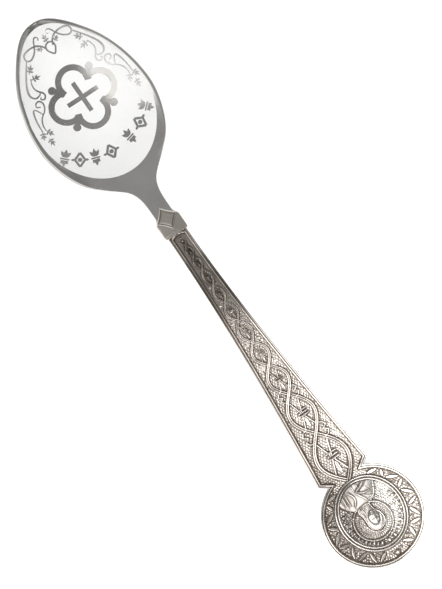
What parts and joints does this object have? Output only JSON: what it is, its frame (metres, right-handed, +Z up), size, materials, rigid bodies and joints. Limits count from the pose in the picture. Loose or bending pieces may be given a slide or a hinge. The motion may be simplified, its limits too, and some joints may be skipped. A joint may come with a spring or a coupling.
{
  "type": "souvenir spoon",
  "caption": "Ornamental teaspoon: egg-shaped bowl, rhomb ferrule, tapering strapwork handle and a round medallion end with a haloed bust.",
  "frame": {"origin": "on the table under the middle of the spoon's overall length and width, where the bowl and the medallion end rest", "axes": "+X from the bowl's tip to the medallion end, +Y across the spoon, +Z up, out of the bowl's hollow"},
  "size_m": [0.14, 0.0286, 0.0171],
  "materials": {
    "polished_bowl": "polished metal with a frosted ground and a polished pattern in the hollow",
    "struck_handle": "struck relief, polished on the raised lines and darkened in the ground",
    "bright_medallion": "bright struck relief with darkened recesses"
  },
  "bodies": {
    "root": {"bowl": "polished_bowl", "neck_collar": "struck_handle", "handle": "struck_handle", "medallion_bezel": "bright_medallion", "medallion_plaque": "bright_medallion"}
  },
  "joints": []
}
